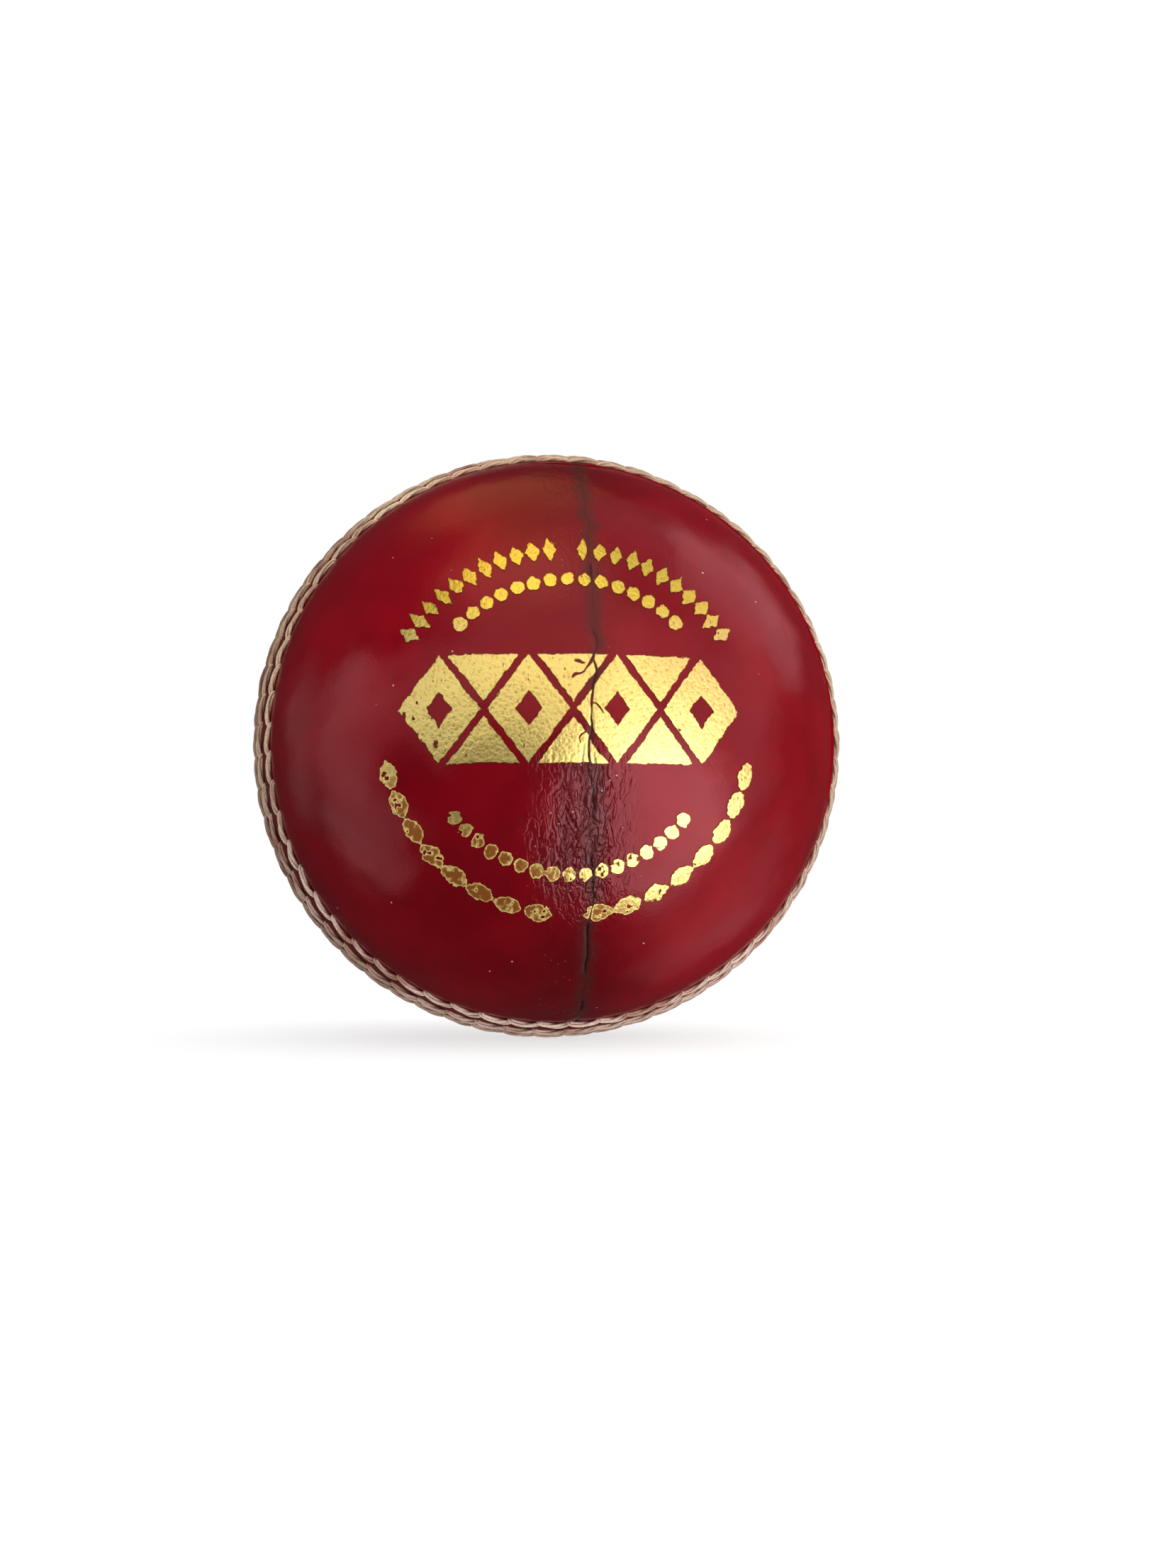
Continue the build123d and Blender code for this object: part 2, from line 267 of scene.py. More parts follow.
def stand_in(node, vertices, faces, material, looks):
    """Worn piece that stands for a CAD node, from millimetre vertices and values at each of them."""
    mesh = bpy.data.meshes.new(node)
    shaped = np.asarray(vertices) * (OUT_OF_ROUND, 1, 1)
    mesh.from_pydata((shaped * MM).tolist(), [], faces)
    work = bmesh.new()
    work.from_mesh(mesh)
    bmesh.ops.recalc_face_normals(work, faces=work.faces)
    work.to_mesh(mesh)
    work.free()
    for key, values in looks.items():
        values = np.asarray(values, np.float32)
        kind, field = ("FLOAT", "value") if values.ndim == 1 else ("FLOAT_VECTOR", "vector")
        mesh.attributes.new(key, kind, "POINT").data.foreach_set(field, values.ravel())
    mesh.polygons.foreach_set("use_smooth", [True] * len(mesh.polygons))
    mesh.set_sharp_from_angle(angle=SHARP_ANGLE)
    mesh.materials.append(material)
    piece = bpy.data.objects.new(node + "_worn", mesh)
    bpy.context.scene.collection.objects.link(piece)
    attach(piece, "root")
    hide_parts(node)


# ------ the two cups


class Cup:
    """One half of the cover: where its quarter seam runs, how its rows wander and where it goes."""

    def __init__(self, name, split, seed):
        self.name = name
        self.split = split
        self.seed = seed
        rng = np.random.default_rng(seed)
        jitter = rng.uniform(-HOLE_JITTER, HOLE_JITTER, (len(ROW_OFFSETS), STITCHES_PER_ROW))
        self.holes = (np.arange(STITCHES_PER_ROW) + 0.5 + jitter) * PITCH

    def place(self, points):
        """Local points to the ball's frame: the back cup is mirrored and turned a quarter turn."""
        if self.name == "front":
            return points
        return np.stack([points[..., 2], -points[..., 1], -points[..., 0]], axis=-1)

    def split_at(self, z):
        """x of the quarter seam, which wanders a little and bends in just below the pole."""
        line = np.stack([0 * z, 0 * z, z], -1)
        wander = sum(far * noise(line, size, seed + self.seed) for far, size, seed in SPLIT_WANDERS)
        sideways, height, reach = SPLIT_BEND
        wander = wander - sideways * bell(z - height, reach)
        return self.split + wander * smooth(*SPLIT_ENDS, np.abs(z))

    def row_offset(self, row, angle):
        """Distance of a row from the seam plane."""
        drift = ROW_DRIFT[row] * np.cos(angle - DRIFT_SIDE)
        return ROW_OFFSETS[row] + drift + ROW_WANDER * wave(angle, self.seed * 10 + row)


FRONT = Cup("front", SPLIT_FRONT, 3)
BACK = Cup("back", 0.0, 7)


def rise(offset):
    """Height of the leather's swell towards the seam plane."""
    return SEAM_RISE * np.clip(1 - offset / SEAM_HALF_WIDTH, 0, 1)


def hole_dimples(cup, row, angle, offset):
    """1 at the middle of each stitch hole, falling off round it."""
    index = np.floor(angle / PITCH).astype(int) % STITCHES_PER_ROW
    turn = (angle - cup.holes[row][index] + pi) % (2 * pi) - pi
    along = turn * COVER_RADIUS
    across = offset - cup.row_offset(row, angle)
    return bell(np.hypot(along, across), DIMPLE_RADIUS)


def pucker_mask(cup, point, distance):
    """Where the leather is puckered: beside the quarter seam, most of all below the front pole."""
    z = point[..., 2]
    ragged = distance + 2.0 * noise(point, (2.4, 2.4, 4.0), 33)
    left = smooth(*PUCKER_LEFT, -ragged) * (distance <= 0)
    right = 0.3 * smooth(*PUCKER_RIGHT, distance) + 0.7 * smooth(*PUCKER_RIGHT_CLOSE, distance)
    beside = left + right * (distance > 0)
    if cup.name == "front":
        strong = smooth(*PUCKER_TOP, z) * smooth(*PUCKER_BOTTOM, z)
        return beside * (0.10 + 0.90 * strong)
    return beside * (0.08 + 0.3 * smooth(0.0, 0.6, noise(point, 14.0, 31)))


def creases(cup, point, distance):
    """Creases that run along the quarter seam and fan out from it."""
    warp = np.stack([noise(point, 2.6, 51 + k) for k in range(3)], axis=-1)
    bent = point + warp * np.array([0.6, 0.3, 1.0])
    ridge = 1 - np.abs(noise(bent, CREASE_SIZE, 61 + cup.seed))
    return smooth(0.62, 1.0, ridge) * pucker_mask(cup, point, distance)


def leather_tone_and_painted_light(cup, point):
    """Share by which the colour is stronger or weaker: random dye tone, and on the front cup painted
    light and shade in soft patches.
    """
    tone = 0.10 * fractal(point, 16.0, 301 + cup.seed)
    if cup.name == "front":
        # painted light and shade: brighter and darker patches for how the light falls
        for x, z, reach, strength in PAINTED_LIGHT_PATCHES:
            tone = tone + strength * bell(np.hypot(point[..., 0] - x, point[..., 2] - z), reach)
    return tone


def seam_relief(cup, angle, offset):
    """Swell, grooves, stitch holes and turned-in lip of the leather at the main seam."""
    lift = rise(offset)
    for row in range(len(ROW_OFFSETS)):
        across = np.abs(offset - cup.row_offset(row, angle))
        lift = lift - GROOVE_DEPTHS[row] * (1 - smooth(*GROOVE_SIDES, across))
        dimples = DIMPLE_DEPTHS[row] * hole_dimples(cup, row, angle, offset)
        lift = lift - np.where(offset < CLEAR_OF_ROWS, dimples, 0)
    drop, width = LIP_DROP
    return lift - drop * (1 - smooth(0.0, width, offset))


def quarter_seam_relief(cup, point, offset, distance):
    """Depth of the parted quarter seam and the creases beside it, and how far the seam is parted."""
    low = smooth(*PARTED_LOW, point[..., 2])
    parted = smooth(0.0, 0.7, noise(point, PARTED_SIZE, 81 + cup.seed) + 0.5 * low)
    depth = PARTING[0] * parted * bell(distance, PARTING[1])
    depth = depth + SINKING[0] * bell(distance, SINKING[1]) * smooth(1.5, CLEAR_OF_ROWS, offset)
    crease = creases(cup, point, distance) * smooth(SEAM_HALF_WIDTH, CLEAR_OF_ROWS, offset)
    return depth + CREASE_DEPTH * crease, parted


def drawn_along(point):
    """Points turned so that ridges which are long across their Z run slantwise over the cup."""
    x, y, z = np.moveaxis(point, -1, 0)
    return np.stack([0.8 * x + 0.6 * z, y, 0.8 * z - 0.6 * x], -1)


def leather_lift(cup, direction):
    """Height of the leather over the plain cover sphere, and the looks that go with it."""
    point = direction * COVER_RADIUS
    offset = -direction[..., 1] * (COVER_RADIUS + SEAM_RISE / 2)
    angle = np.arctan2(direction[..., 2], direction[..., 0]) % (2 * pi)
    distance = point[..., 0] - cup.split_at(point[..., 2])
    depth, parted = quarter_seam_relief(cup, point, offset, distance)
    drawn = drawn_along(point)
    height, size = SWELLING
    swell = height * fractal(point, size, 91 + cup.seed, octaves=4) * smooth(*OPEN_LEATHER, offset)
    height, size = DRAWING
    swell = swell + height * noise(drawn, size, 97 + cup.seed) * smooth(11, 15, offset)
    looks = {
        "seam_distance": distance,
        "pucker": pucker_mask(cup, point, distance) * smooth(*OPEN_LEATHER, offset),
        "parted": parted,
        "rows_distance": offset - (cup.row_offset(0, angle) - ROW_OFFSETS[0]),
        "cup_place": point,
        "tone": leather_tone_and_painted_light(cup, point),
        "haze": 0.5 + 0.5 * fractal(drawn, (15.0, 15.0, 2.4), 331 + cup.seed),
    }
    return seam_relief(cup, angle, offset) - depth + swell, looks


# ------ leather quarters


def belt_directions(cup, side):
    """Rows from the lip to the cap's edge, columns from one end of the quarter seam to the other."""
    dense = np.linspace(0, 1, BELT_DENSE_ROWS + 1) * BELT_DENSE_END
    dense[0] = EDGE_GAP / COVER_RADIUS
    steps = np.linspace(0, 1, BELT_OPEN_ROWS + 1)[1:]
    latitude = np.concatenate([dense, BELT_DENSE_END + steps * (pi / 2 - CAP_EDGE - BELT_DENSE_END)])
    reach = np.cos(latitude)
    column = np.linspace(0, 1, 2 * CAP_ROWS + CAP_COLUMNS + 1)
    edge = [cup.split_at(end * reach * COVER_RADIUS) + side * EDGE_GAP for end in (-1, 1)]
    first, last = [np.arccos(x / (reach * COVER_RADIUS)) for x in edge]
    start = -first if side > 0 else 2 * pi - first
    angle = start[:, None] + (last - start)[:, None] * column[None, :]
    level = latitude[:, None] + 0 * angle
    return np.stack([np.cos(level) * np.cos(angle), -np.sin(level), np.cos(level) * np.sin(angle)], -1)


def flatten(direction):
    """Direction to a plane where distance from the origin is the angle from the pole."""
    polar = np.arccos(np.clip(-direction[..., 1], -1, 1))
    across = np.hypot(direction[..., 0], direction[..., 2])
    scale = np.where(across > TINY, polar / np.maximum(across, TINY), 1.0)
    return direction[..., [0, 2]] * scale[..., None]


def unflatten(plane):
    """The inverse of flatten."""
    polar = np.hypot(plane[..., 0], plane[..., 1])
    scale = np.where(polar > TINY, np.sin(polar) / np.maximum(polar, TINY), 1.0)
    return np.stack([plane[..., 0] * scale, -np.cos(polar), plane[..., 1] * scale], -1)


def cap_directions(cup, side, rim):
    """Grid over the cap, from the quarter seam at row 0 to the far side, within the belt's last row."""
    reach = COVER_RADIUS * sin(CAP_EDGE)
    z = np.linspace(-reach, reach, CAP_COLUMNS + 1)
    x = cup.split_at(z) + side * EDGE_GAP
    chord = np.stack([x, z], -1) / COVER_RADIUS
    chord = np.stack([chord[:, 0], -np.sqrt(1 - (chord**2).sum(-1)), chord[:, 1]], -1)
    chord, rim = flatten(chord), flatten(rim)
    chord[0], chord[-1] = rim[0], rim[-1]
    low = rim[: CAP_ROWS + 1]
    far = rim[CAP_ROWS : CAP_ROWS + CAP_COLUMNS + 1]
    high = rim[CAP_ROWS + CAP_COLUMNS :][::-1]
    s = np.linspace(0, 1, CAP_ROWS + 1)[:, None, None]
    t = np.linspace(0, 1, CAP_COLUMNS + 1)[None, :, None]
    grid = (1 - s) * chord[None] + s * far[None] + (1 - t) * low[:, None] + t * high[:, None]
    grid -= (1 - s) * ((1 - t) * low[0] + t * high[0]) + s * ((1 - t) * low[-1] + t * high[-1])
    for _ in range(CAP_RELAXING):
        inside = (grid[:-2, 1:-1] + grid[2:, 1:-1] + grid[1:-1, :-2] + grid[1:-1, 2:]) / 4
        grid[1:-1, 1:-1] = inside
    return unflatten(grid)


def patch(belt, cap):
    """Vertices of a belt and the cap that completes it, with the index of each grid point."""
    rows, columns = belt.shape[0] - 1, belt.shape[1]
    vertices = np.concatenate([belt[:-1].reshape(-1, 3), cap.reshape(-1, 3)])
    cap_index = rows * columns + np.arange(cap.shape[0] * cap.shape[1]).reshape(cap.shape[:2])
    rim = [cap_index[:, 0], cap_index[-1, 1:], cap_index[:-1][::-1, -1]]
    belt_index = np.arange(rows * columns).reshape(rows, columns)
    belt_index = np.concatenate([belt_index, np.concatenate(rim)[None]])
    return vertices, belt_index, cap_index


def quads(index):
    """Four-sided faces between the points of an index grid."""
    corners = [index[:-1, :-1], index[:-1, 1:], index[1:, 1:], index[1:, :-1]]
    return np.stack([c.ravel() for c in corners], -1).tolist()


def outline(belt_index, cap_index):
    """Closed loop round a patch: lip, far end, quarter seam through the cap, near end."""
    lip = belt_index[0]
    far_end = belt_index[1:, -1]
    chord = cap_index[0][::-1][1:]
    near_end = belt_index[1:-1, 0][::-1]
    return np.concatenate([lip, far_end, chord, near_end, lip[:1]])


def inner_radius(cup, direction):
    """Radius of the cover's inner face, with its recess over the lining."""
    distance = np.abs(direction[..., 0] * INNER_RADIUS - cup.split)
    depth = -direction[..., 1] * INNER_RADIUS
    within = smooth(*RECESS_SIDES, distance) * smooth(*RECESS_ENDS, depth)
    return INNER_RADIUS + (RECESS_RADIUS - INNER_RADIUS) * within


def leather_quarter(name, cup, side, material):
    """Closed leather quarter: worn outer face, plain edges and a coarser inner face."""
    belt = belt_directions(cup, side)
    cap = cap_directions(cup, side, belt[-1])
    step = INNER_STRIDE
    outer, outer_belt, outer_cap = patch(belt, cap)
    inner, inner_belt, inner_cap = patch(belt[::step, ::step], cap[::step, ::step])
    lift, looks = leather_lift(cup, outer)
    _, inside_looks = leather_lift(cup, inner)
    looks = {key: np.concatenate([value, inside_looks[key]]) for key, value in looks.items()}
    vertices = np.concatenate(
        [outer * (COVER_RADIUS + lift)[:, None], inner * inner_radius(cup, inner)[:, None]]
    )
    faces = quads(outer_belt) + quads(outer_cap)
    faces += [[i + len(outer) for i in face] for face in quads(inner_belt) + quads(inner_cap)]
    outer_loop = outline(outer_belt, outer_cap)
    inner_loop = outline(inner_belt, inner_cap) + len(outer)
    for k in range(len(inner_loop) - 1):
        span = outer_loop[k * step : (k + 1) * step + 1].tolist()
        faces.append(span + [int(inner_loop[k + 1]), int(inner_loop[k])])
    stand_in(name, cup.place(vertices), faces, material, looks)


# ------ seam threads


def unit(vectors):
    """The same directions with a length of 1."""
    return vectors / np.linalg.norm(vectors, axis=1, keepdims=True)


def ply_rings(cup, row, stitch, ply, rng):
    """Rings of one ply of one stitch, how deep each vertex sits and how far out of the middle."""
    before = cup.holes[row][stitch - 1] - (2 * pi if stitch == 0 else 0)
    after = cup.holes[row][stitch]
    middle, half = (before + after) / 2, (after - before) / 2
    half += STITCH_OVERLAP / COVER_RADIUS
    u = np.linspace(-1, 1, STITCH_RINGS)
    angle = middle + u * half
    slant = STITCH_SLANT * cos(middle - SLANT_SIDE) * rng.uniform(0.6, 1.3)
    offset = cup.row_offset(row, angle) + slant * u + STITCH_BOW * (u**2 - 0.5)
    top = rise(ROW_OFFSETS[row]) + ROW_TOP
    height = top - PLY_RISE_ORBIT - PLY_RADIUS + rng.uniform(-0.06, 0.04)
    height = height - STITCH_DIVE * smooth(DIVE_FROM, 1.0, np.abs(u)) - STITCH_SAG * u**2
    radius = COVER_RADIUS + height
    reach = np.sqrt(radius**2 - offset**2)
    centre = np.stack([reach * np.cos(angle), -offset, reach * np.sin(angle)], -1)
    along = unit(np.gradient(centre, axis=0))
    side = unit(np.cross(along, unit(centre)))
    outward = np.cross(side, along)
    twist = 2 * pi * (PLY_TURNS * u / 2 + ply / PLIES) + rng.uniform(-0.15, 0.15)
    narrow = 1 - END_NARROWING * np.abs(u) ** 3
    core = centre + side * (PLY_SIDE_ORBIT * narrow * np.cos(twist))[:, None]
    core += outward * (PLY_RISE_ORBIT * narrow * np.sin(twist))[:, None]
    turn = np.linspace(0, 2 * pi, PLY_SIDES, endpoint=False)[:, None]
    size = PLY_RADIUS * (1 + 0.06 * np.sin(u * PLY_WAVES + ply) + rng.uniform(-0.05, 0.05))
    ring = side[:, None] * np.cos(turn) + outward[:, None] * np.sin(turn)
    points = core[:, None] + ring * size[:, None, None]
    depth = COVER_RADIUS + top - np.linalg.norm(points, axis=-1)
    return points, depth, np.linalg.norm(points - centre[:, None], axis=-1)


def tube_faces(first, rings, sides):
    """Quads of a tube whose rings follow each other from a first vertex, with both ends closed."""
    index = first + np.arange(rings * sides).reshape(rings, sides)
    index = np.concatenate([index, index[:, :1]], axis=1)
    return quads(index) + [index[0, :-1].tolist(), index[-1, :-1].tolist()]


def stitch_row(name, cup, row, material):
    """All stitches of a row, each of three twisted plies."""
    rng = np.random.default_rng(100 * cup.seed + row)
    plies, faces = [], []
    count = 0
    for stitch in range(STITCHES_PER_ROW):
        shade = rng.uniform(0, 1)
        turned_by = rng.uniform(0, 1 / PLIES)
        for ply in range(PLIES):
            ring, depth, spread = ply_rings(cup, row, stitch, ply + turned_by, rng)
            shades = np.full(depth.size, shade)
            plies.append((ring.reshape(-1, 3), depth.ravel(), spread.ravel(), shades))
            faces += tube_faces(count, STITCH_RINGS, PLY_SIDES)
            count += depth.size
    points, depths, spreads, shades = [np.concatenate(values) for values in zip(*plies)]
    soiled = np.full(count, ROW_SOIL_AND_SHADE[row])
    looks = {"soiled": soiled, "depth": depths, "spread": spreads, "shade": shades}
    stand_in(name, cup.place(points), faces, material, looks)


# ------ foil stamp
# Each mark is a field: its distance from the mark's edge in millimetres, positive inside.


def turned(x, z, centre, turn):
    """Coordinates along and across an axis turned by an angle about a centre."""
    dx, dz = x - centre[0], z - centre[1]
    return dx * cos(turn) + dz * sin(turn), -dx * sin(turn) + dz * cos(turn)


def diamond_field(along, across, half):
    a, b = half
    inside = 1 - np.abs(along) / a - np.abs(across) / b
    return inside * a * b / np.hypot(a, b)


def bead_field(along, across, radius):
    return radius - np.hypot(along, across)


def leaf_field(along, across, half):
    """Pointed oval where two circles overlap."""
    half_length, half_width = half
    radius = (half_length**2 + half_width**2) / (2 * half_width)
    return radius - np.hypot(along, np.abs(across) + radius - half_width)


def arc_field(x, z, mark, size, radius, first, last, count, missing=None):
    """Marks spaced evenly between two angles on a circle, with one place left empty if asked."""
    field = np.full(x.shape, -FOIL_REACH)
    step = (last - first) / (count - 1)
    for place in [first + step * k for k in range(count) if k != missing]:
        centre = radius * cos(radians(place)), radius * sin(radians(place))
        along, across = turned(x, z, centre, radians(place - 90))
        field = np.maximum(field, mark(along, across, size))
    return field


def band_field(x, z):
    """Four diamonds with small windows, and wedges between them above and below."""
    z = z - BAND_CENTRE
    limit = BAND_PITCH * (BAND_COLUMNS - 1) / 2
    places = [BAND_PITCH * column - limit for column in range(BAND_COLUMNS)]
    field = np.max([diamond_field(x - place, z, BAND_DIAMOND) for place in places], axis=0)
    holes = np.max([diamond_field(x - place, z, BAND_HOLE) for place in places], axis=0)
    wedges = np.minimum(-field - BAND_GAP, BAND_DIAMOND[1] - np.abs(z))
    wedges = np.minimum(wedges, limit - np.abs(x))
    return np.maximum(np.minimum(field, -holes), wedges)


def ornament(x, z):
    """Field of the whole stamp: arcs of lozenges, beads and leaves round the band."""
    arcs = [
        arc_field(x, z, diamond_field, LOZENGE, *LOZENGE_ARC),
        arc_field(x, z, bead_field, BEAD_RADIUS, *UPPER_BEAD_ARC),
        arc_field(x, z, bead_field, BEAD_RADIUS, *LOWER_BEAD_ARC),
        arc_field(x, z, leaf_field, LEAF, *LEAF_ARC),
    ]
    return np.max([band_field(x, z), *arcs], axis=0)


def segment_distance(x, z, first, last):
    """Distance from a segment, growing towards its ends so that what it cuts tapers there."""
    step = np.subtract(last, first)
    length = np.hypot(*step)
    share = ((x - first[0]) * step[0] + (z - first[1]) * step[1]) / length**2
    share = np.clip(share, 0, 1)
    away = np.hypot(x - first[0] - share * step[0], z - first[1] - share * step[1])
    return away + CRACK_TAPER * (share - 0.5) ** 2


def foil_field():
    """The stamp's field on a square grid, worn at its edges, flaked and cracked."""
    count = int(2 * FOIL_REACH / FOIL_CELL) + 1
    line = np.linspace(-FOIL_REACH, FOIL_REACH, count)
    x, z = np.meshgrid(line, line, indexing="ij")
    flat = np.stack([x, 0 * x, z], -1)
    small = smooth(*SMALL_MARKS, np.hypot(x, z))
    low = small * smooth(4.0, -12.0, z + RUBBED_AND_DARK_REFLECTING_SLOPE * x)
    field = ornament(x, z)
    field = field + (0.12 + 0.08 * small) * fractal(flat, 0.42, 201, octaves=2)
    field = field + 0.07 * noise(flat, 1.3, 205)
    field = field + 0.14 * low * fractal(flat, (0.7, 0.7, 0.5), 207, octaves=2)
    bridged = FULL_FOIL - 0.08 * noise(flat, 6.0, 211) - 0.30 * low
    pits = 0.5 * (bridged - fractal(flat, (0.45, 0.45, 0.6), 221, octaves=2))
    field = np.minimum(field, pits)
    width = SEAM_CRACK + 0.04 * (1 + noise(flat, (2.0, 2.0, 0.7), 231))
    field = np.minimum(field, np.abs(x - FRONT.split_at(z)) - width)
    bent_x = x + CRACK_WANDER * noise(flat, 0.9, 241)
    bent_z = z + CRACK_WANDER * noise(flat, 0.9, 243)
    for first, last, width in FOIL_CRACKS:
        field = np.minimum(field, segment_distance(bent_x, bent_z, first, last) - width)
    return line, field


def outline_points(line, field, first):
    """Points where the field changes sign along grid edges, and their indices, from a first one."""
    step = line[1] - line[0]
    points, indices = [], []
    for dx, dz in ((1, 0), (0, 1)):
        a = field[: field.shape[0] - dx, : field.shape[1] - dz]
        b = field[dx:, dz:]
        cross = (a > 0) != (b > 0)
        i, j = np.nonzero(cross)
        share = np.clip(a[cross] / (a[cross] - b[cross]), CROSSING_MARGIN, 1 - CROSSING_MARGIN)
        points.append(np.stack([line[i] + share * dx * step, line[j] + share * dz * step], -1))
        index = -np.ones(cross.shape, int)
        index[cross] = first + np.arange(len(i))
        first += len(i)
        indices.append(index)
    return points, indices


def contour_faces(line, field):
    """Polygons of the region where a gridded field is positive, and the segments that bound it."""
    inside = field > 0
    node = -np.ones(field.shape, int)
    node[inside] = np.arange(inside.sum())
    xs, zs = np.nonzero(inside)
    points, (across, up) = outline_points(line, field, len(xs))
    faces, rims = [], []
    touched = inside[:-1, :-1] | inside[1:, :-1] | inside[1:, 1:] | inside[:-1, 1:]
    for i, j in zip(*np.nonzero(touched)):
        corners = [node[i, j], node[i + 1, j], node[i + 1, j + 1], node[i, j + 1]]
        edges = [across[i, j], up[i + 1, j], across[i, j + 1], up[i, j]]
        loop = [
            (int(index), crossing)
            for pair in zip(corners, edges)
            for index, crossing in zip(pair, (False, True))
            if index >= 0
        ]
        parts = [loop]
        if len(loop) == 6 and sum(crossing for _, crossing in loop) == 4:  # two corners cut off
            starts = [k for k, (_, crossing) in enumerate(loop) if not crossing]
            parts = [[loop[k % 6] for k in (start - 1, start, start + 1)] for start in starts]
        for part in parts:
            faces.append([index for index, _ in part])
            for (index, crossing), (following, other) in zip(part, part[1:] + part[:1]):
                if crossing and other:
                    rims.append((index, following))
    return np.concatenate([np.stack([line[xs], line[zs]], -1), *points]), faces, rims


def foil_stamp(material):
    """Thin closed foil that follows the leather under it."""
    line, field = foil_field()
    flat, faces, rims = contour_faces(line, field)
    x, z = flat[:, 0], flat[:, 1]
    direction = np.stack([x, -np.sqrt(COVER_RADIUS**2 - x**2 - z**2), z], -1) / COVER_RADIUS
    lift, _ = leather_lift(FRONT, direction)
    radius = COVER_RADIUS + lift + FOIL_LIFT
    low = direction * radius[:, None]
    high = direction * (radius + FOIL_THICKNESS)[:, None]
    count = len(flat)
    body = faces + [[i + count for i in reversed(face)] for face in faces]
    body += [[a, b, b + count, a + count] for a, b in rims]
    within = field[field > 0]
    edge = np.concatenate([within, np.zeros(count - len(within))])
    looks = {"edge": np.concatenate([edge, edge])}
    stand_in("foil_stamp", np.concatenate([high, low]), body, material, looks)


# ------ node trees


class Nodes:
    """Short ways to wire a node tree."""

    def __init__(self, tree):
        self.tree = tree

    def node(self, kind, inputs=None, **settings):
        """New node with its settings given by name and its inputs fed by name."""
        made = self.tree.nodes.new("ShaderNode" + kind)
        for key, value in settings.items():
            setattr(made, key, value)
        for key, value in (inputs or {}).items():
            self.feed(made.inputs[key], value)
        return made

    def feed(self, socket, value):
        """Links a socket to another, or gives it a value; a colour of three numbers is opaque."""
        if isinstance(value, bpy.types.NodeSocket):
            self.tree.links.new(value, socket)
        elif socket.type == "RGBA" and len(value) == 3:
            socket.default_value = (*value, 1)
        else:
            socket.default_value = value

    def vector(self, operation, a, b=None, scale=None):
        node = self.node("VectorMath", operation=operation)
        self.feed(node.inputs[0], a)
        if b is not None:
            self.feed(node.inputs[1], b)
        if scale is not None:
            self.feed(node.inputs["Scale"], scale)
        return [s for s in node.outputs if s.enabled][0]

    def math(self, operation, a, b=0.0, clamp=False):
        node = self.node("Math", operation=operation, use_clamp=clamp)
        self.feed(node.inputs[0], a)
        self.feed(node.inputs[1], b)
        return node.outputs[0]

    def plus(self, a, b, clamp=False):
        return self.math("ADD", a, b, clamp)

    def minus(self, a, b, clamp=False):
        return self.math("SUBTRACT", a, b, clamp)

    def times(self, a, b, clamp=False):
        return self.math("MULTIPLY", a, b, clamp)

    def fade(self, value, low, high):
        """0 at low and 1 at high, smoothly; low may be the larger."""
        low, high, start, end = (low, high, 0.0, 1.0) if low < high else (high, low, 1.0, 0.0)
        inputs = {"Value": value, "From Min": low, "From Max": high, "To Min": start, "To Max": end}
        return self.node("MapRange", inputs, interpolation_type="SMOOTHSTEP").outputs["Result"]

    def mix(self, share, a, b):
        """Colour a where the share is 0 and b where it is 1."""
        node = self.node("Mix", {"Factor": share}, data_type="RGBA")
        for socket, value in zip([s for s in node.inputs if s.type == "RGBA"], (a, b)):
            self.feed(socket, value)
        return [s for s in node.outputs if s.type == "RGBA"][0]

    def ray(self, kind):
        """1 for rays of a kind and 0 for others."""
        return self.node("LightPath").outputs[f"Is {kind} Ray"]

    def shading(self, kind, *shaders, **values):
        """Output of a shader node, fed with other shaders in order and with values by name."""
        node = self.node(kind, values)
        for socket, shader in zip([s for s in node.inputs if s.type == "SHADER"], shaders):
            self.feed(socket, shader)
        return node.outputs[0] if node.outputs else None


